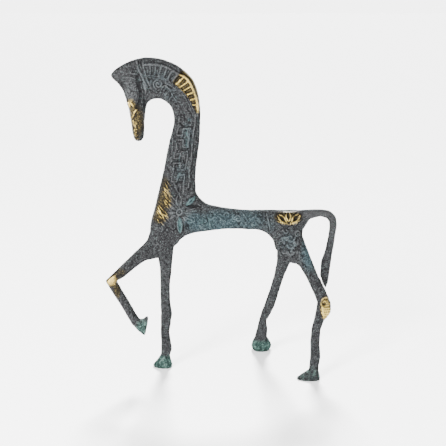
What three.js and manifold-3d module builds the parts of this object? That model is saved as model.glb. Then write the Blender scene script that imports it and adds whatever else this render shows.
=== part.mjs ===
// A cast bronze horse statuette in the archaic Greek manner, poured in one piece.
// It is a thin figure with low raised ornament, and it stands on three hooves with the
// near foreleg lifted.
// Lengths are millimetres. The horse looks along -X, its near (left) side faces -Y, and
// +Z is up. The origin is on the ground, in the middle of the figure's length and width.
import * as THREE from "three";
import Module from "manifold-3d";

// A limb is a table of sections. Each row gives the section's two ends in side view, how
// far the section stands to the far side, and half its thickness:
// [end A x, end A z, end B x, end B z, side, half thickness]

// End A follows the crest of the mane and end B the throat, from the forelock's point
// over the top and down to the chest.
const CREST_AND_NECK = [
  [-80.7, 227.7, -79, 225, 0, 1.2],
  [-78.2, 231.3, -75.5, 222, 0, 2.4],
  [-70.1, 236.5, -68, 212, 0, 4],
  [-61.5, 239.5, -58, 206, 0, 4.8],
  [-52, 240.5, -51.5, 210, 0, 5.4],
  [-41.5, 238.5, -45.6, 210.4, 0, 5.8],
  [-31, 233.6, -41.3, 208.3, 0, 6],
  [-21.4, 224.6, -38, 205, 0, 6],
  [-16.7, 211, -36, 199.6, 0, 6],
  [-16.1, 196, -35.8, 191.8, 0, 6],
  [-17, 178, -40, 177, 0, 6],
  [-19.6, 159, -43.6, 159, 0, 6.3],
  [-20.8, 139, -49, 138, 0, 7],
  [-23, 128, -51.6, 127.5, 0, 7.2],
  [-29, 114, -55, 114, 0, 6.4],
  [-34, 105, -54.6, 104, 0, 3],
];

// End A follows the face and end B the cheek and jaw, from the brow to the lips.
const HEAD = [
  [-77, 224.5, -56, 226, 0, 2.6],
  [-75, 221.3, -54, 218, 0, 4.6],
  [-72, 216.5, -54, 210.5, 0, 6],
  [-69.8, 208.8, -55.5, 204.5, 0, 6.4],
  [-68.2, 202.5, -56.5, 199, 0, 5.6],
  [-67.3, 196, -57, 193.5, 0, 4.8],
  [-66.4, 188, -57.3, 187, 0, 4.2],
  [-65.4, 183, -57.8, 182.4, 0, 3.6],
  [-63.9, 180.1, -60, 180, 0, 2.1],
];

const STRAIGHT_FORELEG = [
  [-50, 132, -27, 131, 0, 3.4],
  [-54.7, 118, -29, 117, 0, 6.4],
  [-51.5, 99, -37, 98, 0.5, 5.6],
  [-49.5, 91, -37.8, 90.5, 1.5, 4.8],
  [-48, 83, -38.5, 83, 2.3, 4.4],
  [-47.8, 68, -40.2, 68, 3.2, 4],
  [-47.7, 55, -40.3, 55, 3.8, 4],
  [-47.8, 44.5, -38.8, 44, 4.2, 4.2],
  [-48.1, 28.5, -41.2, 28.5, 4.5, 3.7],
  [-47.9, 15, -39.3, 14.5, 4.5, 4.2],
  [-48.2, 9, -41.2, 8.6, 4.5, 4],
];
const STRAIGHT_FORE_HOOF = [
  [-48.2, 10, -41.2, 9.6, 4.5, 3.6],
  [-51.4, 5.4, -40.6, 6.2, 4.5, 5.6],
  [-54.6, 1.6, -39.2, 1.4, 4.5, 6.2],
  [-54.2, 0, -39.6, 0, 4.5, 5.8],
];

const RAISED_FORELEG = [
  [-49, 127, -33, 112, 0, 3.4],
  [-53.9, 115.5, -38, 99, -0.3, 6],
  [-57.3, 105.2, -47.5, 91.2, -1.5, 4.8],
  [-65, 98.3, -57.5, 90.6, -5, 4.3],
  [-72.9, 91.6, -65.4, 86.4, -7.5, 4],
  [-82.3, 83, -74.1, 80, -9.5, 3.9],
  [-88.2, 77.4, -79.6, 77, -10, 3.8],
  [-88.2, 75, -79.5, 74.4, -10, 3.8],
  [-79.2, 58.9, -71.6, 59.3, -10, 3.6],
  [-72.8, 46.3, -66, 48.5, -10, 3.5],
  [-69.8, 40.8, -63, 44.6, -10, 3.8],
];
const RAISED_HOOF = [
  [-70, 42, -64, 45, -10, 3.4],
  [-65.7, 36, -61, 45.3, -10, 4.8],
  [-61.4, 32.3, -58.4, 47.3, -10, 5.6],
  [-60.6, 32.2, -57.6, 47.2, -10, 5.4],
];

const NEAR_HIND_LEG = [
  [42, 123.5, 64.2, 122.5, 0, 5.4],
  [41, 114, 62.8, 114.5, 0, 6.4],
  [44.6, 100.5, 61.8, 105.5, -1, 6],
  [52, 87.6, 64.6, 97.2, -3.5, 5.4],
  [59, 82, 68.3, 87.2, -6.5, 4.8],
  [63.2, 75, 73, 75.4, -9.5, 4.4],
  [67.3, 66, 77.7, 66, -13, 4.2],
  [71.2, 56, 82, 55, -16.5, 4.4],
  [70, 50, 81.6, 49, -18.5, 4.3],
  [68.3, 43, 76, 43, -20, 4],
  [66.2, 36.5, 73, 35.5, -22, 3.7],
  [64.9, 27, 72, 26.8, -24.5, 3.7],
  [64.7, 17.5, 72.5, 16.5, -27, 3.8],
  [63.6, 9.5, 70.8, 9, -29, 4.2],
];
const NEAR_HIND_HOOF = [
  [63.9, 10.6, 71, 10, -28.8, 3.8],
  [62.9, 6.3, 70.4, 7, -29.8, 4.8],
  [53.6, 1, 71.8, 1, -30.9, 5.8],
  [53.8, 0, 71.8, 0, -30.9, 5.6],
];

const FAR_HIND_LEG = [
  [45, 119, 60, 118, 0, 3],
  [43.6, 107, 59.5, 105, 0.6, 5.6],
  [42.5, 94, 58, 89, 1.5, 5.4],
  [43.1, 84.5, 53.2, 81.6, 4.5, 4.7],
  [42.1, 72, 50, 71.6, 8.5, 4.2],
  [39.1, 57.3, 46.8, 57, 13, 3.9],
  [35.7, 43.4, 44, 43, 17.5, 4],
  [33.8, 36.5, 41.6, 36.4, 19.5, 3.9],
  [32.3, 29, 38.1, 28.7, 22, 3.6],
  [31.2, 21.2, 39.5, 20.8, 24.5, 4],
  [29.2, 11.5, 39.8, 11.2, 27, 4.6],
];
const FAR_HIND_HOOF = [
  [30, 13.2, 39.6, 12.8, 27.2, 4.2],
  [27.8, 6.8, 43, 6.8, 29.6, 7],
  [27.2, 3.2, 44, 3.2, 30.9, 8],
  [28.6, 0, 42, 0, 30.9, 6.4],
];

// Fills the fork between the hind legs down to a round arch.
const HIND_FORK = [
  [48, 96, 61, 96, 0, 4.6],
  [50, 88, 60.4, 88, -0.4, 4.5],
  [51.4, 84.8, 60, 84.4, -0.6, 4],
  [52.6, 83.6, 59.2, 83.2, -0.7, 3.4],
];

// End A follows the outside of the tail's bend and end B the inside.
const TAIL = [
  [46, 123, 50, 107, 0, 4.6],
  [53, 124.8, 56.5, 107, 0, 5.6],
  [60.5, 125.3, 62.6, 110.4, 0, 5],
  [67, 125.3, 67, 118, 0, 4],
  [76, 125.3, 75.2, 119.8, 0, 3.4],
  [82.8, 124, 80.3, 118.3, 0, 3.2],
  [87.3, 120, 82.7, 115, 0, 3.2],
  [88.7, 113.5, 82.9, 110.6, 0, 3.2],
  [87.5, 104, 82.1, 103.5, 0, 3.2],
  [86.2, 94, 80.3, 93.6, 0, 3.3],
  [84.8, 83, 77, 83.2, 0, 3.4],
  [83.7, 72.4, 76.5, 72.6, 0, 3],
  [82.5, 65.2, 79, 65.2, 0, 2],
  [81.8, 61.8, 80.8, 61.8, 0, 0.8],
];

// The trunk fans round the hollow in front of the withers and the two ends of the belly.
// Each arc runs between its two angles. The loin is the barrel's thinnest section, and
// the back is nearly straight from there to where it ends over the haunch.
const WITHERS = { x: -3.4, z: 147.3, radius: 17.4, from: 172, to: 262 };
const BELLY_FRONT = { x: -17.5, z: 87.7, radius: 22.2, from: 148, to: 96 };
const LOIN = [7, 127.5, 3, 112.1, 0, 6];
const BELLY_REAR = { x: 22.2, z: 91.9, radius: 19.5, from: 98, to: 4 };
const BACK = { startX: 18.6, startZ: 126.1, endX: 57, endZ: 125.3 };
const SHOULDER = [-34, 150, -46, 100, 0, 4];
const RUMP = [61, 124.3, 49, 98, 0, 3];
const SHOULDER_HALF = 7;
const BARREL_HALF = 6;
const RUMP_HALF = 6.4;

// Sections are superellipses: flat-sided on the neck and trunk, rounder on the limbs.
// A hoof's section is narrower at its toe, end A, by the share that point gives.
const SLAB = { exponent: 3.2, sides: 12, point: 0 };
const LIMB = { exponent: 2.5, sides: 10, point: 0 };
const HOOF = { exponent: 2.2, sides: 12, point: 0.3 };
const ROUND_HOOF = { exponent: 2.2, sides: 12, point: 0 };

// The ornament is raised lines and leaves. RELIEF is how far they stand out, SINK how
// deep their feet go into the body, and STROKE and FINE_STROKE are widths of lines. A
// spiral starts at SPIRAL_EYE of its radius.
const RELIEF = 0.75;
const SINK = 0.6;
const STROKE = 1.4;
const FINE_STROKE = 1.1;
const MITRE_LIMIT = 1.6;
const SPIRAL_EYE = 0.22;
const NEAR = -1;
const FAR = 1;

// The mane is a band about one middle. Its inner border swings out to meet the outer
// one behind the crest, and the outer one moves to the rim as it passes the top.
const MANE = {
  x: -52.9, z: 203.6, front: 97, back: -10, pitch: 7.6,
  inner: { radius: 24, backRadius: 34, swingsFrom: 60, swing: 72, power: 1.6 },
  outer: { radius: 32, backRadius: 34.6, movesFrom: 55, movesTo: 40 },
};
const STRAP = { top: [-61, 238], bend: [-60.5, 226], end: [-54.2, 213], width: 4 };
const CURL = { x: -44.6, z: 219.4, radius: 4.2, start: 30, turns: 1.6, spans: 11 };
const BROW_LINE = [[-74.6, 225.8], [-67.5, 226.4], [-60.2, 225.6]];
const TUFTS = { x: -74.5, z: 227.6, pitch: 3.6, lean: 2.4, length: 5.6, growth: 0.8, width: 1.8, count: 4 };
const EYE = { x: -65.3, z: 206.4, length: 7.4, height: 3.6, slope: -52, pupil: 3.2 };
const MOUTH = { from: [-58.4, 201.5], to: [-62.4, 193], width: 1.5 };
const NOSTRIL = { x: -62.2, z: 189.2, radius: 1.3, from: 60, to: 300 };
const KEY = { topX: -31.8, topZ: 198, width: 9, lean: 0.135, pitch: 17, repeats: 3 };
const NECK_BORDER = [[-20.2, 199.5], [-21.6, 188], [-23, 172], [-24.8, 158], [-25.8, 146]];
const CHEST_LEAVES = { x: -42, z: 152, stepX: -1, stepZ: -4, reachX: 5.5, reachZ: -5, width: 1.9, count: 5 };
const STAR = {
  x: -32.8, z: 127.7, hub: 2.2, width: 4.6, from: 0, sweep: 360,
  petals: [20, 14, 13, 11, 10.5, 13, 16, 15.5],
};
const SCROLL = { startX: -10, endX: 28, z: 118.8, swing: 3.8, lobes: 5, curl: 2.3, turns: 1.25, drop: 1.4 };
const RUMP_BAND = { top: [31.8, 123.4], bottom: [34.6, 113], pitch: 2.8 };
const PALMETTE = {
  x: 50, z: 115.4, hub: 1.5, width: 3.2, from: 155, sweep: -162,
  petals: [9.5, 9, 8.6, 9, 9.5],
};
const HAUNCH = { x: 51.4, top: 105.4, pitch: 5.5, radius: 3.4, taper: 0.4, cups: 3, from: 185, to: 355 };
const HAUNCH_RING = { x: 57, z: 108.2, radius: 2.3 };
const HAUNCH_LEAF = { out: 4.7, lean: 1.5, rise: 3.6, width: 2 };
const HOCK = { from: [75.4, 60.5], to: [75.2, 44], width: 4.4 };

const degrees = THREE.MathUtils.degToRad;
const lerp = THREE.MathUtils.lerp;

const wasm = await Module();
wasm.setup();

// Where an arc passes at an angle, as [x, z].
function onArc({ x, z, radius }, angle) {
  return [x + radius * Math.cos(degrees(angle)), z + radius * Math.sin(degrees(angle))];
}

// A closed solid from flat rings of points, with its two end rings filled.
function skin(rings) {
  const sides = rings[0].length;
  const points = rings.flat();
  const faces = [];
  for (let ring = 0; ring < rings.length - 1; ring += 1) {
    for (let side = 0; side < sides; side += 1) {
      const here = ring * sides + side;
      const next = ring * sides + ((side + 1) % sides);
      faces.push(here, next, next + sides);
      faces.push(here, next + sides, here + sides);
    }
  }
  const last = (rings.length - 1) * sides;
  for (let side = 1; side < sides - 1; side += 1) {
    faces.push(0, side + 1, side);
    faces.push(last, last + side, last + side + 1);
  }
  return solidOf(points, faces);
}

// A manifold solid whose faces point out, whichever way round its rings were drawn.
function solidOf(points, faces) {
  const vertProperties = new Float32Array(points.flatMap((point) => point.toArray()));
  const build = (triangles) => {
    const mesh = new wasm.Mesh({ numProp: 3, vertProperties, triVerts: new Uint32Array(triangles) });
    return new wasm.Manifold(mesh);
  };
  const solid = build(faces);
  return solid.volume() > 0 ? solid : build(faces.slice().reverse());
}

// Runs smooth curves through a table's columns and skins the sections along them.
function loft(rows, shape, steps) {
  const columns = [0, 2, 4].map((first) => {
    return new THREE.SplineCurve(rows.map((row) => new THREE.Vector2(row[first], row[first + 1])));
  });
  const spans = (rows.length - 1) * steps;
  const rings = [];
  for (let span = 0; span <= spans; span += 1) {
    const [endA, endB, build] = columns.map((column) => column.getPoint(span / spans));
    rings.push(section(endA, endB, build.x, build.y, shape));
  }
  return skin(rings);
}

function section(endA, endB, side, half, { exponent, sides, point }) {
  const ring = [];
  for (let corner = 0; corner < sides; corner += 1) {
    const angle = (2 * Math.PI * corner) / sides;
    const along = rounded(Math.cos(angle), exponent);
    const across = rounded(Math.sin(angle), exponent) * (1 + point * along);
    const place = endA.clone().lerp(endB, (1 + along) / 2);
    ring.push(new THREE.Vector3(place.x, side + half * across, place.y));
  }
  return ring;
}

function rounded(value, exponent) {
  return Math.sign(value) * Math.abs(value) ** (2 / exponent);
}

function trunkRows() {
  const turns = [0, 0.25, 0.5, 0.75, 1];
  const along = (arcOf, turn) => onArc(arcOf, lerp(arcOf.from, arcOf.to, turn));
  const front = turns.map((turn) => {
    return [...along(WITHERS, turn), ...along(BELLY_FRONT, turn), 0, lerp(SHOULDER_HALF, BARREL_HALF, turn)];
  });
  const rear = turns.map((turn) => {
    const back = [lerp(BACK.startX, BACK.endX, turn), lerp(BACK.startZ, BACK.endZ, turn)];
    return [...back, ...along(BELLY_REAR, turn), 0, lerp(BARREL_HALF, RUMP_HALF, turn)];
  });
  return [SHOULDER, ...front, LOIN, ...rear, RUMP];
}

function body() {
  return wasm.Manifold.union([
    loft(CREST_AND_NECK, SLAB, 2),
    loft(HEAD, LIMB, 1),
    loft(trunkRows(), SLAB, 2),
    loft(STRAIGHT_FORELEG, LIMB, 1),
    loft(STRAIGHT_FORE_HOOF, HOOF, 1),
    loft(RAISED_FORELEG, LIMB, 2),
    loft(RAISED_HOOF, HOOF, 1),
    loft(NEAR_HIND_LEG, LIMB, 1),
    loft(NEAR_HIND_HOOF, HOOF, 1),
    loft(FAR_HIND_LEG, LIMB, 1),
    loft(FAR_HIND_HOOF, ROUND_HOOF, 1),
    loft(HIND_FORK, LIMB, 1),
    loft(TAIL, LIMB, 1),
  ]);
}

function geometryOf(solid) {
  const { numProp, vertProperties, triVerts } = solid.getMesh();
  const geometry = new THREE.BufferGeometry();
  geometry.setAttribute("position", new THREE.BufferAttribute(vertProperties, numProp));
  geometry.setIndex(new THREE.BufferAttribute(triVerts, 1));
  geometry.computeVertexNormals();
  return geometry;
}

const bronze = new THREE.MeshStandardMaterial({ color: 0x4c5052, roughness: 0.55, metalness: 0.8 });
const plainBody = body();
const plainMesh = new THREE.Mesh(geometryOf(plainBody), bronze);
const probe = new THREE.Raycaster();
const OUTSIDE = 100;

// How far out the plain body's surface lies under a point of the side view.
function surfaceAt(x, z, face) {
  probe.set(new THREE.Vector3(x, face * OUTSIDE, z), new THREE.Vector3(0, -face, 0));
  const [hit] = probe.intersectObject(plainMesh);
  if (!hit) throw new Error(`an ornament's point lies off the body, at ${x}, ${z}`);
  return hit.point.y;
}

// A raised line with a keel, along a path of [x, z, width] in side view.
function ridge(path, face) {
  const points = path.map(([x, z]) => new THREE.Vector2(x, z));
  const spread = (RELIEF + SINK) / RELIEF / 2;
  const rings = path.map(([x, z, width], place) => {
    const here = points[place];
    const into = here.clone().sub(points[place - 1] ?? here).normalize();
    const outOf = (points[place + 1] ?? here).clone().sub(here).normalize();
    const along = into.clone().add(outOf).normalize();
    const mitre = Math.min(MITRE_LIMIT, 1 / Math.max(along.dot(into), along.dot(outOf)));
    const reach = width * spread * mitre;
    const feet = [-reach, reach].map((offset) => {
      const footX = x - along.y * offset;
      const footZ = z + along.x * offset;
      return new THREE.Vector3(footX, surfaceAt(footX, footZ, face) - face * SINK, footZ);
    });
    const lift = RELIEF * Math.min(1, width / STROKE);
    return [feet[0], new THREE.Vector3(x, surfaceAt(x, z, face) + face * lift, z), feet[1]];
  });
  return skin(rings);
}

function line(points, width = STROKE) {
  return points.map(([x, z]) => [x, z, width]);
}

// A leaf is a short line, widest in its middle and pointed at both ends.
function leaf([startX, startZ], [endX, endZ], width) {
  return [[0, 0.2], [0.35, 1], [1, 0.15]].map(([way, share]) => {
    return [lerp(startX, endX, way), lerp(startZ, endZ, way), width * share];
  });
}

function arc(circle, from, to, spans, width) {
  const angles = Array.from({ length: spans + 1 }, (_, span) => lerp(from, to, span / spans));
  return line(angles.map((angle) => onArc(circle, angle)), width);
}

// Winds out from near the middle to the full radius.
function spiral({ x, z, radius }, start, turns, spans) {
  const path = Array.from({ length: spans + 1 }, (_, span) => {
    const way = span / spans;
    return onArc({ x, z, radius: radius * lerp(SPIRAL_EYE, 1, way) }, start + 360 * turns * way);
  });
  return line(path, FINE_STROKE);
}

// A band of rungs between two borders, running back over the crest to a point on the neck.
function mane() {
  const { front, back, pitch, inner, outer } = MANE;
  const angles = [];
  for (let angle = front; angle >= back; angle -= pitch) angles.push(angle);
  const at = (angle, radius) => onArc({ ...MANE, radius }, angle);
  const innerEdge = angles.map((angle) => {
    const way = Math.max(0, inner.swingsFrom - angle) / inner.swing;
    return at(angle, lerp(inner.radius, inner.backRadius, way ** inner.power));
  });
  const outerEdge = angles.map((angle) => {
    const way = THREE.MathUtils.smoothstep(angle, outer.movesTo, outer.movesFrom);
    return at(angle, lerp(outer.backRadius, outer.radius, way));
  });
  const rungs = innerEdge.slice(1, -2).map((edge, place) => line([edge, outerEdge[place + 1]]));
  return [line(innerEdge), line(outerEdge), ...rungs];
}

// The two edges of a strap that runs from the crest down behind the cheek.
function strap() {
  return [0, STRAP.width].map((offset) => {
    const ends = [STRAP.top, STRAP.bend, STRAP.end].map(([x, z]) => new THREE.Vector2(x + offset, z));
    const curve = new THREE.QuadraticBezierCurve(...ends);
    return line(curve.getPoints(4).map((point) => point.toArray()));
  });
}

// Two lids that meet in points round a long pupil, sloping down toward the lips.
function eye() {
  const { x, z, length, height, slope, pupil } = EYE;
  const [cos, sin] = onArc({ x: 0, z: 0, radius: 1 }, slope);
  const place = (way, rise) => [x + cos * way - sin * rise, z + sin * way + cos * rise];
  const lids = [-1, 1].map((lid) => {
    const path = [-1, -0.5, 0.5, 1].map((way) => {
      return place((way * length) / 2, (lid * height * (1 - way ** 2)) / 2);
    });
    return line(path, FINE_STROKE);
  });
  return [...lids, leaf(place(-pupil / 2, 0), place(pupil / 2, 0), FINE_STROKE)];
}

function muzzle() {
  const nostril = arc(NOSTRIL, NOSTRIL.from, NOSTRIL.to, 4, FINE_STROKE);
  return [leaf(MOUTH.from, MOUTH.to, MOUTH.width), nostril];
}

// A line across the brow with tufts of the forelock standing over it.
function brow() {
  const { x, z, pitch, lean, length, growth, width, count } = TUFTS;
  const tufts = Array.from({ length: count }, (_, place) => {
    const root = [x + pitch * place, z];
    return leaf(root, [root[0] + lean, z + length + growth * place], width);
  });
  return [line(BROW_LINE), ...tufts];
}

// A square key pattern that runs down the neck and leans with it.
function key() {
  const { topX, topZ, width, lean, pitch, repeats } = KEY;
  const unit = [[0, 0], [0, 0.8], [0.45, 0.8], [0.45, 0.5], [1, 0.5], [1, 1.3], [0.55, 1.3], [0.55, 1]];
  const path = [];
  for (let count = 0; count < repeats; count += 1) {
    for (const [across, down] of unit) {
      const drop = pitch * (count + down);
      path.push([topX + across * width - lean * drop, topZ - drop]);
    }
  }
  return [line(path.slice(0, -2))];
}

// Leaves round a hub, one for each length, spaced evenly over the sweep.
function rosette({ x, z, hub, width, from, sweep, petals }) {
  return petals.map((length, count) => {
    const angle = from + (sweep * count) / petals.length;
    return leaf(onArc({ x, z, radius: hub }, angle), onArc({ x, z, radius: length }, angle), width);
  });
}

// A wavy stem along the barrel, with a curl in each of its bends.
function scroll() {
  const { startX, endX, z, swing, lobes, curl, turns, drop } = SCROLL;
  const steps = lobes * 4;
  const stem = Array.from({ length: steps + 1 }, (_, step) => {
    return [lerp(startX, endX, step / steps), z + swing * Math.sin((Math.PI * step) / 4)];
  });
  const curls = Array.from({ length: lobes }, (_, lobe) => {
    const up = lobe % 2 === 0 ? 1 : -1;
    const middle = { x: lerp(startX, endX, (lobe + 0.5) / lobes), z: z - up * drop, radius: curl };
    return spiral(middle, up * 90, -up * turns, 7);
  });
  return [line(stem, FINE_STROKE), ...curls];
}

// Cups stacked one below another with a leaf on each side, and a small ring above.
function haunch() {
  const { x, top, pitch, radius, taper, cups, from, to } = HAUNCH;
  const { out, lean, rise, width } = HAUNCH_LEAF;
  const rings = Array.from({ length: cups }, (_, place) => {
    return arc({ x, z: top - pitch * place, radius: radius - taper * place }, from, to, 5);
  });
  const leaves = [-1, 1].map((way) => {
    const root = [x + way * out, top - pitch];
    return leaf(root, [root[0] + way * lean, root[1] + rise], width);
  });
  return [...rings, ...leaves, arc(HAUNCH_RING, 0, 360, 8, FINE_STROKE)];
}

function chest() {
  const { x, z, stepX, stepZ, reachX, reachZ, width, count } = CHEST_LEAVES;
  return Array.from({ length: count }, (_, place) => {
    const root = [x + stepX * place, z + stepZ * place];
    return leaf(root, [root[0] + reachX, root[1] + reachZ], width);
  });
}

function rumpBands() {
  const { top, bottom, pitch } = RUMP_BAND;
  return [0, pitch].map((offset) => line([top, bottom].map(([x, z]) => [x + offset, z])));
}

// The far face carries the main bands only, and the near face has the rest as well.
function ornament() {
  const flowers = [...rosette(STAR), ...rosette(PALMETTE)];
  const main = [...mane(), ...strap(), ...eye(), ...muzzle(), ...key(), line(NECK_BORDER), ...flowers];
  const curl = spiral(CURL, CURL.start, CURL.turns, CURL.spans);
  const hock = leaf(HOCK.from, HOCK.to, HOCK.width);
  const rest = [curl, hock, ...brow(), ...scroll(), ...haunch(), ...chest(), ...rumpBands()];
  return [
    ...main.map((path) => ridge(path, FAR)),
    ...[...main, ...rest].map((path) => ridge(path, NEAR)),
  ];
}

const horse = new THREE.Mesh(geometryOf(wasm.Manifold.union([plainBody, ...ornament()])), bronze);
horse.name = "horse";
const box = new THREE.Box3().setFromObject(horse);
const middle = box.getCenter(new THREE.Vector3());
horse.geometry.translate(-middle.x, -middle.y, -box.min.z);

const statuette = new THREE.Group();
statuette.add(horse);

export default statuette;
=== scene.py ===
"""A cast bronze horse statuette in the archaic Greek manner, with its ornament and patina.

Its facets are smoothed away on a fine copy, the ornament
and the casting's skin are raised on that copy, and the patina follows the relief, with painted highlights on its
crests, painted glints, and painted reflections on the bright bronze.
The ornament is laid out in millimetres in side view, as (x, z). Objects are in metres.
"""
import math
import random

import bpy
import numpy as np
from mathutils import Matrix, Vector, noise


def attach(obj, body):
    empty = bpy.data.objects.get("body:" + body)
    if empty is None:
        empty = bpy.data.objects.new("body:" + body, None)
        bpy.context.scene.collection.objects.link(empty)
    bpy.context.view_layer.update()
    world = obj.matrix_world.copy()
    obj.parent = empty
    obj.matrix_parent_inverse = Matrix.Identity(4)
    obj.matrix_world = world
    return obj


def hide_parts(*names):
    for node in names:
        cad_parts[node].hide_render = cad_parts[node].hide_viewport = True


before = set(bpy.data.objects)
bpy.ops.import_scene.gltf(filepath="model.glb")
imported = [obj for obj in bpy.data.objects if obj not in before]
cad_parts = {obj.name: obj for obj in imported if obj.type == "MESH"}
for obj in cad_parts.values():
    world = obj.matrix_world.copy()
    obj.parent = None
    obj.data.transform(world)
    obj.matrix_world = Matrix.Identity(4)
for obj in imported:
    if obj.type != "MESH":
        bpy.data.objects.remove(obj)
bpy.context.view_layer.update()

MM = 0.001
NEAR = -1
FAR = 1

# How fine the sculpted copy is, and how strongly its facets and ridges are evened out.
VOXEL = 0.42
RELAX = 0.6
RELAX_ROUNDS = 45
TRIANGLES = 196000

# Creases of the solid before the thigh and behind the foreleg that are evened out once more:
# (x, z, half width, half height, weight).
CREASES = [(42, 97, 7, 9, 1.0), (-37, 101, 7, 9, 1.0)]

# Heights of the relief and of the casting's uneven skin.
RELIEF = 0.72
SPREAD = 0.58
WAVER = 0.35
SKIN = 0.11
SWELL = 0.15


# Numbers and meshes


def smoothstep(low, high, value):
    way = np.clip((value - low) / (high - low), 0, 1)
    return way * way * (3 - 2 * way)


def read(mesh):
    """The mesh's points in millimetres."""
    flat = np.empty(len(mesh.vertices) * 3, np.float32)
    mesh.vertices.foreach_get("co", flat)
    return flat.reshape(-1, 3).astype(float) / MM


def write(mesh, points):
    mesh.vertices.foreach_set("co", (points * MM).astype(np.float32).ravel())
    mesh.update()


def normals_of(mesh):
    flat = np.empty(len(mesh.vertices) * 3, np.float32)
    mesh.vertex_normals.foreach_get("vector", flat)
    return flat.reshape(-1, 3).astype(float)


def modified(piece, kind, **settings):
    """Applies one modifier to the piece."""
    modifier = piece.modifiers.new(kind, kind)
    for name, value in settings.items():
        setattr(modifier, name, value)
    result = piece.evaluated_get(bpy.context.evaluated_depsgraph_get())
    mesh = bpy.data.meshes.new_from_object(result)
    piece.modifiers.clear()
    old = piece.data
    piece.data = mesh
    bpy.data.meshes.remove(old)


def relaxed(mesh, points, weight):
    """Evens the points out without letting the limbs get thinner."""
    edges = np.empty(len(mesh.edges) * 2, np.int32)
    mesh.edges.foreach_get("vertices", edges)
    start, end = edges.reshape(-1, 2).T
    count = len(points)
    valence = np.bincount(start, minlength=count) + np.bincount(end, minlength=count)

    def mean_of(values):
        back = np.bincount(start, values[end], count)
        forth = np.bincount(end, values[start], count)
        return (back + forth) / valence

    def relax(values):
        for _ in range(RELAX_ROUNDS):
            mean = np.stack([mean_of(values[:, axis]) for axis in range(3)], 1)
            values = values + RELAX * weight[:, None] * (mean - values)
        return values

    soft = relax(points)
    return soft + relax(points - soft)


def grain(points, size, seed=0):
    """Noise between about -1 and 1, in lumps of the given size along x, y and z."""
    scaled = points / np.array(size, float) + seed * 17.3
    return np.array([noise.noise(Vector(point)) for point in scaled])


# Strokes of the ornament. A stroke is a path, its width at each point, and its height.


def on_arc(x, z, radius, angle):
    turn = math.radians(angle)
    return (x + radius * math.cos(turn), z + radius * math.sin(turn))


def line(points, width=1.5, height=1.0):
    path = np.array(points, float)
    return path, np.full(len(path), width), height


def leaf(start, end, width, height=1.0, bend=0.0):
    """A stroke that is pointed at both ends, bowed sideways by a share of its length."""
    start, end = np.array(start, float), np.array(end, float)
    across = np.array([start[1] - end[1], end[0] - start[0]])
    way = np.linspace(0, 1, 7)[:, None]
    path = start + (end - start) * way + across * bend * np.sin(np.pi * way)
    return path, width * np.array([0.25, 0.7, 0.95, 1, 0.9, 0.6, 0.15]), height


def petal(start, end, width, rim=1.2):
    """A leaf with a raised rim and a lower middle."""
    bow = 0.4 * width / math.dist(start, end)
    rims = [leaf(start, end, rim, 1.0, side * bow) for side in (-1, 1)]
    return [*rims, leaf(start, end, width * 0.8, 0.4)]


def arc(x, z, radius, low, high, width=1.3, height=1.0):
    angles = np.linspace(low, high, max(4, int(abs(high - low) / 18)))
    return line([on_arc(x, z, radius, angle) for angle in angles], width, height)


def spiral(x, z, radius, start, turns, width=1.1, height=1.0):
    ways = np.linspace(0, 1, int(12 * abs(turns)) + 2)
    path = [on_arc(x, z, radius * (0.18 + 0.82 * way), start + 360 * turns * way) for way in ways]
    return line(path, width, height)


# The mane's band turns about one middle, from over the brow to a point behind the neck.
MANE_X = -52.7
MANE_Z = 203.6
MANE_ANGLES = np.arange(97, -11, -7.6)


def mane_inner(angle):
    return 24 + 10 * (np.maximum(0, 60 - angle) / 72) ** 1.6


def mane_outer(angle):
    return 34.6 - 2.6 * smoothstep(40, 55, angle)


def mane():
    """A bright outer line with rungs that stop short of the thin inner one."""
    inner = [on_arc(MANE_X, MANE_Z, mane_inner(angle), angle) for angle in MANE_ANGLES]
    starts = [on_arc(MANE_X, MANE_Z, mane_inner(angle) + 1.3, angle) for angle in MANE_ANGLES]
    outer = [on_arc(MANE_X, MANE_Z, mane_outer(angle), angle) for angle in MANE_ANGLES]
    rungs = [line([low, high], 1.15, 1.0) for low, high in zip(starts[1:-2], outer[1:-2])]
    echo = [on_arc(MANE_X, MANE_Z, mane_inner(angle) - 1.9, angle) for angle in MANE_ANGLES[5:]]
    return [line(inner, 0.8, 0.5), line(outer, 1.4, 1.0), line(echo, 0.8, 0.7), *rungs]


def strap():
    left = [(-61.2, 238.3), (-61.1, 234.8), (-59.9, 230.8), (-58, 226.7), (-54.5, 219.6)]
    right = [(-56.9, 238.6), (-57.2, 234.8), (-56.4, 230.2), (-55, 225.7), (-51.5, 218)]
    return [line(left, 1.3, 1.1), line(right, 1.1, 0.9), leaf((-57.4, 222.6), (-56.0, 214.4), 1.9, 1.2, 0.12)]


def face():
    """The eye's lids, the fold from the eye to the mouth, the nostril and the lips."""
    return [
        leaf((-70.2, 210.4), (-69.2, 205.6), 0.9, 1.2),
        leaf((-68.8, 209.4), (-67.4, 204.2), 1.1, 1.4, 0.1),
        leaf((-67.2, 210.2), (-65.6, 206.2), 0.9, 1.2),
        leaf((-65.8, 208.4), (-64.4, 205.0), 0.8, 0.9),
        leaf((-69.0, 203.2), (-66.4, 202.2), 0.8, 0.8),
        leaf((-61.2, 204.8), (-65.2, 197.8), 1.1, 1.3, -0.12),
        leaf((-68.4, 198.8), (-66.2, 196.8), 0.9, 1.1),
        leaf((-67.8, 195.2), (-65.6, 194.4), 0.8, 0.8),
        leaf((-65.4, 193.4), (-63.4, 189.4), 1.0, 1.2, 0.15),
        arc(-63.4, 188.2, 1.2, 60, 300, 0.8, 0.9),
        leaf((-66.2, 186.6), (-62.6, 184.4), 0.9, 0.8),
        line([(-71.0, 207), (-69.4, 198), (-68, 190), (-66.6, 184)], 0.8, 0.9),
    ]


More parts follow.
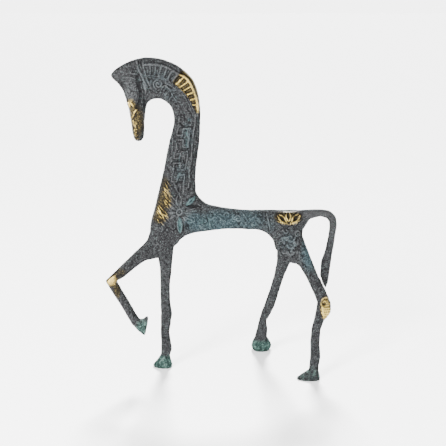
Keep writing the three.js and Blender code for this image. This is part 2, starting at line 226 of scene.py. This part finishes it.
def cheek_folds():
    """Sunk lines behind and before the cheek's long bulge."""
    back = [(-61.4, 226.6), (-60.2, 221), (-59.4, 215), (-60.4, 209), (-62.2, 204.6)]
    front = [(-73.2, 222), (-71.6, 216), (-70.4, 211.6)]
    return [line(back, 2.2, 0.9), line(front, 1.4, 0.5)]


def brow():
    lines = [
        line([(-71.8, 228.0), (-66.5, 229.2), (-61.5, 229.0)], 1.0, 0.7),
        line([(-72.1, 225.8), (-66.0, 226.4), (-62.4, 225.2)], 0.9, 0.6),
    ]
    tufts = [(-76.8 + 3.1 * place, 234.4 + 0.7 * place) for place in range(4)]
    return lines + [leaf((x + 1.4, 229.6), (x + 1.2, z), 1.1, 0.7, 0.15) for x, z in tufts]


def tendril():
    """A small curl behind the cheek, and a leafy stem that runs from it down the neck."""
    stem = [(-41.6, 221), (-38.2, 217.5), (-36.2, 213), (-33.4, 209), (-31.6, 204), (-28.8, 200)]
    leaves = []
    for place, (x, z) in enumerate(stem[:-1]):
        side = 1 if place % 2 else -1
        leaves.append(leaf((x, z), (x + side * 3.0, z - 2.4 + side * 1.6), 1.0, 0.7, side * 0.15))
    return [
        spiral(-46.4, 221.4, 3.6, 30, 1.6, 1.0, 1.1),
        arc(-46.4, 221.4, 5.6, -50, 80, 0.8, 0.7),
        arc(-46.4, 221.4, 5.6, 150, 260, 0.8, 0.6),
        line(stem, 0.8, 0.6),
        *leaves,
    ]


def key():
    """A square key pattern that runs down the neck and leans with it, and its border."""
    unit = [(0, 0), (0, 0.8), (0.45, 0.8), (0.45, 0.5), (1, 0.5), (1, 1.3), (0.55, 1.3), (0.55, 1)]
    path = []
    for count in range(3):
        for across, down in unit:
            drop = 17 * (count + down)
            path.append((-31.6 + across * 9 - 0.135 * drop, 198 - drop))
    border = [(-20, 199.5), (-21.4, 188), (-22.8, 172), (-24.6, 158), (-25.6, 146)]
    return [line(path[:-2], 1.0, 0.95), line(border, 1.1, 0.9)]


def key_filling():
    """Small curls and bars in the spaces of the key pattern."""
    bars = [
        line([(-25.5, 188.5), (-25.7, 178)], 1.1, 0.9),
        line([(-36.8, 184), (-37.6, 170)], 0.8, 0.6),
        line([(-24.8, 168), (-25.6, 160)], 0.9, 0.7),
        line([(-31.9, 148.5), (-32.6, 141)], 0.9, 0.7),
        line([(-29.2, 148.5), (-29.8, 141)], 0.9, 0.7),
    ]
    curls = [
        spiral(-28.6, 193.6, 2.4, 90, 1.2, 0.8, 0.7),
        spiral(-31.2, 162.4, 2.1, 0, 1.2, 0.9, 0.7),
        spiral(-38.4, 160, 1.8, 180, -1.2, 0.8, 0.6),
    ]
    return bars + curls


STAR_X = -32.6
STAR_Z = 127.2


def star():
    """Petals of unequal length round a ring: hollow above, full below, a fan to the right."""
    strokes = [arc(STAR_X, STAR_Z, 2.1, 0, 360, 1.1)]

    def ray(angle, start, end, width, height, bend=0.0):
        return leaf(on_arc(STAR_X, STAR_Z, start, angle), on_arc(STAR_X, STAR_Z, end, angle), width, height, bend)

    strokes += [ray(93, 3.4, 14.5, 1.0, 1.0, side * 0.17) for side in (-1, 1)]
    strokes += [ray(-89, 4, 17, 1.3, 1.1, side * 0.13) for side in (-1, 1)]
    strokes += [ray(44, 7.5, 16.5, 1.2, 1.0, side * 0.12) for side in (-1, 1)]
    strokes += [ray(44, 8, 16, 3.4, 0.3)]
    strokes += [ray(angle, 3.6, 16 - 0.05 * abs(angle), 0.9, 0.8) for angle in (12, 2, -9, -21, -35, -52)]
    strokes += [ray(180 + way, 3.4, 9, 2.2, 0.6) for way in (-34, 0, 34)]
    return strokes


def scribble(low, high, count, seed, size=2.0, tall=0.7):
    """Short curls and dashes, spread evenly and turned at random over a box in side view."""
    draw = random.Random(seed)
    strokes = []
    for place in range(count):
        x = low[0] + (high[0] - low[0]) * (place + draw.random()) / count
        z = draw.uniform(low[1], high[1])
        turn = draw.uniform(0, 360)
        radius = size * draw.uniform(0.5, 1)
        sweep = draw.choice((60, 110, 200, 270))
        strokes.append(arc(x, z, radius, turn, turn + sweep, 0.8, tall * draw.uniform(0.6, 1.2)))
    return strokes


def scroll():
    """A worn stem that wanders along the barrel, with curls and dashes all round it."""
    stem = [(-10 + 1.9 * step, 118.8 + 3.4 * math.sin(math.pi * step / 4)) for step in range(21)]
    dashes = [
        leaf((-9.8, 119.8), (-9.4, 113.2), 1.1, 1.0),
        leaf((-3.4, 123.8), (-1.4, 118.4), 1.1, 0.9, 0.1),
        leaf((14.6, 124.9), (17.6, 120.2), 1.2, 1.0, 0.1),
        leaf((16.9, 118.9), (18.0, 114.6), 1.1, 1.0),
        leaf((22.4, 118.6), (22.6, 113.6), 1.1, 1.1),
        leaf((27.2, 121.8), (28.4, 116.8), 1.1, 0.8, -0.1),
    ]
    curls = [spiral(11.2, 120.8, 2.8, 60, 1.3, 1.0, 0.9), spiral(0.6, 119.4, 2.3, 200, -1.2, 0.9, 0.8)]
    return [line(stem, 0.9, 0.5), *dashes, *curls, *scribble((-24, 113), (31, 124), 44, 5)]


def tangles():
    """Dense small strokes on the brow, the neck, the shoulder and the haunch."""
    return [
        *scribble((-78, 228), (-64, 236), 14, 11, 1.2),
        *scribble((-72, 206), (-62, 226), 16, 18, 1.4, 0.5),
        *scribble((-70, 184), (-62, 203), 14, 19, 1.0, 0.6),
        *scribble((-39, 206), (-30, 226), 16, 12, 1.4, 0.6),
        *scribble((-40, 172), (-22, 206), 13, 13, 1.3, 0.5),
        *scribble((-42, 140), (-24, 172), 14, 14, 1.3, 0.5),
        *scribble((-44, 108), (-20, 124), 18, 15, 1.8, 0.6),
        *scribble((42, 90), (60, 112), 26, 16, 1.5, 1.3),
        *scribble((56, 80), (70, 106), 12, 17, 1.8, 0.7),
    ]


def rump():
    """A band across the rump, and a palmette of hollow petals behind it."""
    bands = [line([(33.2, 124.2), (34.4, 118.4), (35.6, 111.8)], 1.1, 1.1)]
    petals = []
    for start, end, width in (
        ((48.6, 116.6), (41.6, 123.4), 4.6),
        ((50.3, 117.4), (50.3, 125), 3.8),
        ((52.2, 116.6), (59.2, 123.2), 4.6),
    ):
        petals += petal(start, end, width, 1.15)[:2]
    sides = [leaf((50.3 + way * 2.6, 116), (50.3 + way * 10, 118.6), 1.3) for way in (-1, 1)]
    scallops = [arc(x, 116.8, 1.6, 195, 345, 1.2, 0.9) for x in (46, 50.3, 54.6)]
    beads = [leaf((x, 125.3), (x + 2.4, 125.3), 1.7, 0.9) for x in np.arange(41, 58, 3.1)]
    return [*bands, *petals, *sides, *scallops, *beads]


def haunch():
    """Cups stacked one below another, with leaves beside them and hatching below."""
    cups = [arc(51.6, 105.4 - 5.5 * place, 3.4 - 0.4 * place, 185, 355, 1.3) for place in range(3)]
    leaves = [leaf((51.6 + way * 4.6, 99.9), (51.6 + way * 6.1, 103.5), 2) for way in (-1, 1)]
    small = [leaf((43.8, 103.6), (47.2, 105.9), 1.6), leaf((43.2, 110.2), (46.4, 111.4), 2.0, 0.8)]
    hatch = [leaf((x, 90.8), (x + 1.6, 94.6), 1.0, 0.7) for x in (46.6, 55.6, 57.6)]
    return [*cups, *leaves, *small, *hatch, arc(57.2, 108.2, 2.2, 0, 360, 1.1)]


def chest():
    """Long fine strokes like feathers, slanting down the front of the neck, and its rim."""
    draw = random.Random(21)
    strokes = [line([(-44.8, 154), (-47.4, 141), (-49.8, 131), (-52, 122)], 0.9, 0.9)]
    for place in range(46):
        way = (place + draw.random()) / 46
        x = -44 - 7.4 * way + 9 * draw.random() ** 1.2
        z = 152 - 32 * way
        lean = -58 if x > -46.5 - 6 * way else -112
        turn = math.radians(lean + draw.uniform(-14, 14))
        length = draw.uniform(4, 7.5)
        end = (x + length * math.cos(turn), z + length * math.sin(turn))
        strokes.append(leaf((x, z), end, 0.8, draw.uniform(0.9, 1.4), 0.04))
    return strokes


def hock():
    """A rim over the joint, and rows of small scales on it."""
    rim = [arc(77.0, 57, 3.9, -20, 200, 1.0, 0.7), leaf((73.4, 56), (75.2, 44), 1.1, 0.7, 0.08)]
    scales = [
        arc(74.6 + 1.6 * column + 0.8 * (row % 2), 53.4 - 1.7 * row, 0.8, 190, 350, 0.7, 0.55)
        for row in range(5)
        for column in range(4)
    ]
    return rim + scales


# Dimples and grooves: (x, z, half width, half height, depth).
HOLLOWS = [
    (75.9, 56.2, 1.4, 1.3, 0.8),
    (45.6, 120.6, 1.5, 2.2, 0.7),
    (50.3, 121.9, 1.4, 2.4, 0.7),
    (55.2, 120.4, 1.5, 2.2, 0.7),
    (-57.2, 208, 1.0, 8, 0.35),
    (-26.6, 117.5, 1.4, 4, 0.5),
    (-23.5, 131.5, 5, 1.4, 0.5),
]
# Swellings under the ornament: (x, z, half width, half height, height).
SWELLINGS = [
    (-66.4, 217, 5.0, 10, 0.55),
    (76.8, 53, 4.4, 10, 0.6),
    (-84, 77.6, 4.4, 4.4, 0.4),
    (-32.7, 127.7, 10, 10, 0.25),
]


def raised(points, strokes):
    """Height of the strokes at side-view points, and each point's clearance from them."""
    height = np.zeros(len(points))
    clear = np.full(len(points), 9.0)
    for path, widths, tall in strokes:
        for place in range(len(path) - 1):
            start, end = path[place], path[place + 1]
            reach = max(widths[place], widths[place + 1]) + 1.5
            low, high = np.minimum(start, end) - reach, np.maximum(start, end) + reach
            inside = np.flatnonzero(((points > low) & (points < high)).all(1))
            local = points[inside]
            along = end - start
            way = np.clip((local - start) @ along / max(along @ along, 1e-9), 0, 1)
            away = np.linalg.norm(local - start - way[:, None] * along, axis=1)
            half = SPREAD * (widths[place] + (widths[place + 1] - widths[place]) * way)
            bump = np.clip(1 - (away / half) ** 2, 0, 1) ** 0.75
            bump *= tall * np.minimum(1, half / 0.45)
            height[inside] = np.maximum(height[inside], bump)
            clear[inside] = np.minimum(clear[inside], away - half)
    return height, clear


def blobs(points, rows, core=0.6, edge=1.3):
    """Soft ellipses (x, z, half width, half height, strength), joined by the strongest."""
    total = np.zeros(len(points))
    for x, z, wide, tall, strength in rows:
        away = np.hypot((points[:, 0] - x) / wide, (points[:, 1] - z) / tall)
        total = np.maximum(total, strength * (1 - smoothstep(core, edge, away)))
    return total


def ornament(points, normals):
    """The relief's height at each point, below zero in its grooves and hollows."""
    main = [*mane(), *strap(), *face(), *key(), *star(), *rump()]
    rest = [*brow(), *tendril(), *key_filling(), *scroll(), *tangles(), *haunch(), *chest(), *hock()]
    drift = np.stack([grain(points, (9, 9, 9), seed) for seed in (3, 4)], 1)
    flat = points[:, [0, 2]] + WAVER * 2 * drift
    wear = 0.85 + 0.5 * grain(points, (5, 5, 5), 5)
    rise = np.zeros(len(points))
    for side, strokes in ((NEAR, [*main, *rest]), (FAR, main)):
        facing = smoothstep(0.35, 0.7, side * normals[:, 1]) * (side * points[:, 1] > -1.0)
        height, clear = raised(flat, strokes)
        groove = -0.35 * np.exp(-(((clear - 0.5) / 0.45) ** 2))
        rise += facing * wear * np.where(height > 0, height, groove)
        if side == NEAR:
            rise += facing * (blobs(flat, SWELLINGS) - blobs(flat, HOLLOWS))
            rise -= facing * raised(flat, cheek_folds())[0]
    return rise


# Where the patina is rubbed back to bright bronze, on the near face.
GOLD = [
    (-67.4, 204, 6.2, 7.5, 0.85),
    (-62.8, 195, 6.6, 15, 0.62),
    (-66.0, 193, 6.4, 10, 0.84),
    (-64.4, 184, 4.6, 6, 0.6),
    (-44.5, 147, 6, 10, 0.5),
    (-45.5, 136.5, 8.5, 10, 0.58),
    (-48, 126.5, 7.5, 9, 0.68),
    (49.8, 121, 11.5, 5.8, 0.96),
    (-85.2, 78.4, 6.0, 6.0, 1.15),
    (-80.4, 70, 3.6, 9, 0.5),
    (-78, 83.4, 7, 4.4, 0.42),
    (77.2, 52.6, 5.2, 9.5, 0.86),
]
# Where verdigris has formed, in soft patches and along leaves.
GREEN = [
    (-26, 184, 5, 14, 0.4),
    (-31, 157, 7, 9, 0.35),
    (-30, 130, 9, 9, 0.2),
    (-20, 119, 10, 9, 0.9),
    (-2, 118, 20, 11, 0.95),
    (18, 118.5, 18, 11, 0.7),
    (36, 116, 8, 10, 0.4),
    (50, 102, 8, 10, 0.42),
    (66, 93, 7, 15, 0.9),
    (-50, 226, 16, 10, 0.3),
    (-38, 214, 9, 9, 0.3),
]
# Where verdigris lies thick and light.
BRIGHT = [
    (-26.5, 186.5, 0.8, 4, 0.6),
    (-26.9, 179, 0.8, 3.5, 0.6),
    (-24.6, 196, 1.6, 1.4, 0.6),
    (-32, 166, 0.8, 5, 0.5),
    (-33, 154, 1.4, 3, 0.5),
    (-12, 119, 7, 5, 0.45),
    (66, 92, 3, 7, 0.35),
]


def bright_leaves():
    """The star's two full petals."""
    low = leaf(on_arc(STAR_X, STAR_Z, 4, -89), on_arc(STAR_X, STAR_Z, 16, -89), 4.2)
    return [low, leaf(on_arc(STAR_X, STAR_Z, 7.5, 44), on_arc(STAR_X, STAR_Z, 16.5, 44), 4.2)]


# Where the grey is lighter.
PALE = [
    (-66, 218, 5, 8, 0.2),
    (74, 122.6, 14, 4, 0.8),
    (86, 110, 5, 14, 0.5),
    (-72, 229, 7, 5, 0.5),
    (-50, 232, 14, 5, 0.3),
]


def rubbed_mane(points):
    """Up to 1 on the back part of the mane's band, and more on the rim outside it."""
    across, up = points[:, 0] - MANE_X, points[:, 1] - MANE_Z
    radius, angle = np.hypot(across, up), np.degrees(np.arctan2(up, across))
    along = smoothstep(-8, 0, angle) * (1 - smoothstep(44, 54, angle))
    rim = smoothstep(0.8, 1.8, radius - mane_outer(angle))
    return along * smoothstep(-0.6, 1.0, radius - mane_inner(angle)) * (1 + 0.35 * rim)


def paint(mesh, points, normals):
    """Stores the relief and the places of each finish on the mesh's points."""
    flat = points[:, [0, 2]]
    near = smoothstep(-0.3, 0.2, -normals[:, 1])
    front = smoothstep(0.1, 0.5, -normals[:, 1])
    bright = np.maximum(raised(flat, bright_leaves())[0], blobs(flat, BRIGHT, 0.2, 1.5)) * near
    hooves = np.maximum(1 - smoothstep(7, 14, points[:, 2]), blobs(flat, [(-61.5, 38, 7, 8, 0.8)]))
    hooves *= 1 - 0.55 * smoothstep(50, 55, points[:, 0])
    values = {
        "rise": ornament(points, normals),
        "gold": np.maximum(blobs(flat, GOLD, 0.3, 1.35) * front, rubbed_mane(flat) * (0.5 + 0.32 * near)),
        "green": np.maximum(blobs(flat, GREEN, 0.2, 1.5), bright) * (0.4 + 0.6 * near),
        "bright": bright,
        "pale": blobs(flat, PALE),
        "hoof": hooves,
    }
    for name, value in values.items():
        layer = mesh.attributes.new(name, "FLOAT", "POINT")
        layer.data.foreach_set("value", value.astype(np.float32))


def sculpt():
    """The statuette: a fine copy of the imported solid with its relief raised."""
    piece = bpy.data.objects.new("bronze_horse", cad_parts["horse"].data.copy())
    bpy.context.scene.collection.objects.link(piece)
    modified(piece, "REMESH", mode="VOXEL", voxel_size=VOXEL * MM, use_smooth_shade=True)
    mesh = piece.data
    points = read(mesh)
    low = 1 - smoothstep(9, 14, points[:, 2])
    crisp = np.maximum(low, blobs(points[:, [0, 2]], [(-62, 40, 8, 9, 1)]))
    points = relaxed(mesh, points, 1 - 0.9 * crisp)
    points = relaxed(mesh, points, blobs(points[:, [0, 2]], CREASES))
    write(mesh, points)
    normals = normals_of(mesh)
    rise = ornament(points, normals)
    skin = SKIN * grain(points, (2.2, 2.2, 2.2)) + SWELL * grain(points, (6, 6, 6), 1)
    veins = 1 - 4 * np.abs(grain(points, (2.6, 2.6, 2.6), 2))
    carved = smoothstep(84, 92, points[:, 2]) * smoothstep(0.3, 0.6, -normals[:, 1])
    skin += 0.14 * carved * np.clip(veins, -0.6, 1)
    streaks = grain(points, (1.5, 1.5, 8), 6)
    skin += 0.13 * (1 - smoothstep(84, 92, points[:, 2])) * streaks
    keep = smoothstep(0.05, 0.8, points[:, 2])
    points = points + normals * ((RELIEF * rise + skin) * keep)[:, None]
    write(mesh, points)
    modified(piece, "DECIMATE", ratio=TRIANGLES / (2 * len(mesh.polygons)), use_collapse_triangulate=True)
    mesh = piece.data
    mesh.polygons.foreach_set("use_smooth", np.ones(len(mesh.polygons), bool))
    paint(mesh, read(mesh), normals_of(mesh))
    return piece


# Materials


def simple(name, color, roughness):
    material = bpy.data.materials.new(name)
    material.use_nodes = True
    shader = material.node_tree.nodes["Principled BSDF"]
    shader.inputs["Base Color"].default_value = (*color, 1)
    shader.inputs["Roughness"].default_value = roughness
    return material


class Graph:
    """Short calls for building a material's nodes."""

    def __init__(self, name):
        self.material = bpy.data.materials.new(name)
        self.material.use_nodes = True
        self.tree = self.material.node_tree
        self.shader = self.tree.nodes["Principled BSDF"]
        self.place = self.tree.nodes.new("ShaderNodeTexCoord").outputs["Object"]

    def put(self, value, socket):
        if isinstance(value, bpy.types.NodeSocket):
            self.tree.links.new(value, socket)
        elif isinstance(value, tuple):
            socket.default_value = (*value, 1)
        else:
            socket.default_value = value

    def attribute(self, name):
        node = self.tree.nodes.new("ShaderNodeAttribute")
        node.attribute_name = name
        return node.outputs["Fac"]

    def noise(self, size, detail=2, rough=0.5):
        """Noise from 0 to 1 in lumps of a size in millimetres."""
        node = self.tree.nodes.new("ShaderNodeTexNoise")
        self.put(self.place, node.inputs["Vector"])
        node.inputs["Scale"].default_value = 1 / (size * MM)
        node.inputs["Detail"].default_value = detail
        node.inputs["Roughness"].default_value = rough
        return node.outputs["Fac"]

    def math(self, operation, first, second):
        node = self.tree.nodes.new("ShaderNodeMath")
        node.operation = operation
        self.put(first, node.inputs[0])
        self.put(second, node.inputs[1])
        return node.outputs[0]

    def blend(self, *terms):
        """The sum of (value, share) pairs."""
        total = 0.0
        for value, share in terms:
            total = self.math("ADD", total, self.math("MULTIPLY", value, share))
        return total

    def ramp(self, value, low, high, out_low=0.0, out_high=1.0):
        node = self.tree.nodes.new("ShaderNodeMapRange")
        node.interpolation_type = "SMOOTHSTEP"
        for socket, number in zip(node.inputs, (value, low, high, out_low, out_high)):
            self.put(number, socket)
        return node.outputs[0]

    def mix(self, share, first, second):
        node = self.tree.nodes.new("ShaderNodeMix")
        node.data_type = "RGBA"
        self.put(share, node.inputs[0])
        self.put(first, node.inputs[6])
        self.put(second, node.inputs[7])
        return node.outputs[2]

    def bump(self, height, depth, under=None):
        node = self.tree.nodes.new("ShaderNodeBump")
        node.inputs["Strength"].default_value = 1
        node.inputs["Distance"].default_value = depth * MM
        self.put(height, node.inputs["Height"])
        if under is not None:
            self.put(under, node.inputs["Normal"])
        return node.outputs[0]


def patinated_bronze():
    """Dark grey patina with verdigris, rubbed back to bright bronze in places; painted highlights on the relief's
    crests, painted glints, and painted reflections on the bronze.
    """
    g = Graph("patinated_bronze")
    rise, gold, green = g.attribute("rise"), g.attribute("gold"), g.attribute("green")
    hoof, pale, bright = g.attribute("hoof"), g.attribute("pale"), g.attribute("bright")
    broad, middling, fine, speck = g.noise(9, 3), g.noise(2.2, 3, 0.6), g.noise(0.8, 3, 0.65), g.noise(0.75, 1)
    mottle = g.ramp(g.blend((middling, 0.5), (fine, 0.5)), 0.38, 0.62)
    # The relief's crests, lighter: partly rubbed wear, partly a painted highlight.
    crests_worn_and_highlit = g.blend((rise, 0.8), (fine, 0.7), (speck, 0.6))
    # Light specks: painted glints.
    painted_glint_specks = g.ramp(speck, 0.54, 0.74)
    dark_specks = g.ramp(speck, 0.46, 0.28)
    deep = g.ramp(rise, -0.05, -0.35)

    # One patina, mottled: its crests lighter, partly rubbed and partly a painted highlight; light specks as
    # painted glints; dark pits and grooves.
    def patinated(low, high, crest_worn_and_highlit, painted_glint, pit):
        color = g.mix(mottle, low, high)
        color = g.mix(g.math("MULTIPLY", g.ramp(crests_worn_and_highlit, 0.75, 1.6), 0.7), color, crest_worn_and_highlit)
        color = g.mix(g.math("MULTIPLY", painted_glint_specks, 0.5), color, painted_glint)
        return g.mix(g.math("MAXIMUM", g.math("MULTIPLY", dark_specks, 0.65), g.math("MULTIPLY", deep, 0.7)), color, pit)

    grey = patinated(
        (0.0075, 0.0075, 0.0079), (0.0315, 0.032, 0.0335), (0.068, 0.07, 0.072), (0.105, 0.108, 0.11), (0.0034, 0.0034, 0.0038)
    )
    pale_share = g.ramp(g.blend((pale, 1), (fine, 0.6)), 0.4, 1.3, 0, 0.5)
    grey = g.mix(pale_share, grey, (0.045, 0.045, 0.046))
    teal = patinated(
        (0.0145, 0.0215, 0.025), (0.037, 0.056, 0.063), (0.075, 0.105, 0.112), (0.104, 0.143, 0.15), (0.0046, 0.0065, 0.0075)
    )
    spread = g.blend((green, 1), (g.math("SUBTRACT", middling, 0.5), 0.9), (rise, 0.15))
    skin = g.mix(g.ramp(spread, 0.1, 1.0, 0, 0.9), grey, teal)
    broken = g.blend((g.math("SUBTRACT", fine, 0.5), 1.6), (g.math("SUBTRACT", speck, 0.5), 1.4))
    thick = g.ramp(g.blend((bright, 0.6), (broken, 1.5)), 0.3, 1.0, 0, 0.85)
    skin = g.mix(thick, skin, g.mix(mottle, (0.016, 0.034, 0.033), (0.052, 0.098, 0.089)))

    worn = g.blend((hoof, 1), (g.math("SUBTRACT", middling, 0.5), 1.2))
    mint = g.mix(mottle, (0.006, 0.0115, 0.0105), (0.034, 0.067, 0.058))
    mint = g.mix(g.ramp(g.blend((fine, 0.6), (middling, 0.5)), 0.56, 0.68), mint, (0.095, 0.145, 0.127))
    skin = g.mix(g.ramp(worn, 0.25, 1.0, 0, 0.95), skin, mint)

    noises = g.blend((g.math("SUBTRACT", fine, 0.5), 1.2), (g.math("SUBTRACT", speck, 0.5), 1.2))
    rub = g.blend((gold, 1), (g.math("SUBTRACT", middling, 0.5), 0.4), (noises, 0.3))
    rubbed = g.ramp(rub, 0.12, 0.6)
    uneven = g.math("MULTIPLY", noises, g.ramp(gold, 0.75, 1.0, 1.5, 0.4))
    # The rubbed bronze's tone: lighter on the raised relief where worn, and spread from near black to pale gold
    # as painted reflections of dark and bright surroundings, its brightest stop a painted highlight.
    wear_and_painted_reflection = g.blend((uneven, 1), (rise, 1.05), (g.math("SUBTRACT", gold, 0.7), 0.85))
    rubbed_bronze_and_painted_reflections = g.mix(g.ramp(wear_and_painted_reflection, -0.35, 0.25), (0.0105, 0.009, 0.0064), (0.042, 0.034, 0.018))
    rubbed_bronze_and_painted_reflections = g.mix(g.ramp(wear_and_painted_reflection, 0.05, 0.5), rubbed_bronze_and_painted_reflections, (0.115, 0.084, 0.028))
    rubbed_bronze_and_painted_reflections = g.mix(g.ramp(wear_and_painted_reflection, 0.45, 0.95), rubbed_bronze_and_painted_reflections, (0.47, 0.345, 0.095))
    g.put(g.mix(rubbed, skin, rubbed_bronze_and_painted_reflections), g.shader.inputs["Base Color"])

    g.put(g.math("MULTIPLY", rubbed, 0.9), g.shader.inputs["Metallic"])
    matt = g.ramp(broad, 0.3, 0.7, 0.5, 0.66)
    g.put(g.ramp(rubbed, 0, 1, matt, 0.34), g.shader.inputs["Roughness"])
    g.shader.inputs["Specular IOR Level"].default_value = 0.0
    grit = g.bump(g.blend((fine, 0.6), (speck, 0.5)), 0.35)
    g.put(g.bump(middling, 0.35, grit), g.shader.inputs["Normal"])
    return g.material


def build_horse():
    piece = sculpt()
    piece.data.materials.clear()
    piece.data.materials.append(patinated_bronze())
    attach(piece, "root")
    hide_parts("horse")


# Camera, floor and lights

AZIMUTH = -6
ELEVATION = 14
DISTANCE = 0.650
TARGET = Vector((0.00068, -0.00105, 0.1164))
LENS = 69.17
SENSOR = 36

HORIZON = 5.2
OVERHEAD = 0.8
FLOOR_REACH = 60


def shown(thing):
    bpy.context.scene.collection.objects.link(thing)
    return thing


def turned(thing, direction):
    thing.rotation_mode = "QUATERNION"
    thing.rotation_quaternion = Vector(direction).to_track_quat("-Z", "Y")


def camera():
    data = bpy.data.cameras.new("camera")
    data.sensor_width = SENSOR
    data.lens = LENS
    data.clip_start = 0.01
    data.clip_end = 2 * FLOOR_REACH
    turn, lift = math.radians(AZIMUTH), math.radians(ELEVATION)
    back = Vector((math.sin(turn) * math.cos(lift), -math.cos(turn) * math.cos(lift), math.sin(lift)))
    made = shown(bpy.data.objects.new("camera", data))
    made.location = TARGET + back * DISTANCE
    turned(made, -back)
    bpy.context.scene.camera = made


def floor():
    mesh = bpy.data.meshes.new("floor")
    corners = [(x * FLOOR_REACH, y * FLOOR_REACH, 0) for x, y in ((-1, -1), (1, -1), (1, 1), (-1, 1))]
    mesh.from_pydata(corners, [], [(0, 1, 2, 3)])
    mesh.materials.append(simple("floor", (0.9, 0.9, 0.9), 0.9))
    shown(bpy.data.objects.new("floor", mesh))


def lamp(name, kind, source, aim, **settings):
    data = bpy.data.lights.new(name, kind)
    for key_name, value in settings.items():
        setattr(data, key_name, value)
    made = shown(bpy.data.objects.new(name, data))
    made.location = source
    turned(made, Vector(aim) - Vector(source))


def lights():
    """Soft light from above and behind, a softbox in front, and a bright horizon that hides
    the floor's edge."""
    world = bpy.data.worlds.new("studio")
    world.use_nodes = True
    tree = world.node_tree
    place = tree.nodes.new("ShaderNodeTexCoord")
    height = tree.nodes.new("ShaderNodeSeparateXYZ")
    band = tree.nodes.new("ShaderNodeMapRange")
    tree.links.new(place.outputs["Generated"], height.inputs[0])
    tree.links.new(height.outputs["Z"], band.inputs["Value"])
    for name, number in (("From Min", 0.02), ("From Max", 0.3), ("To Min", HORIZON), ("To Max", OVERHEAD)):
        band.inputs[name].default_value = number
    backdrop = tree.nodes["Background"]
    backdrop.inputs["Color"].default_value = (1, 1, 1, 1)
    tree.links.new(band.outputs[0], backdrop.inputs["Strength"])
    bpy.context.scene.world = world
    middle = (0, 0, 0.12)
    lamp("top", "SUN", (0.15, 1.0, 0.95), middle, energy=22, angle=math.radians(14))
    lamp("front", "AREA", (-0.9, -0.9, 0.9), middle, energy=60, shape="DISK", size=0.5)


camera()
floor()
lights()
build_horse()
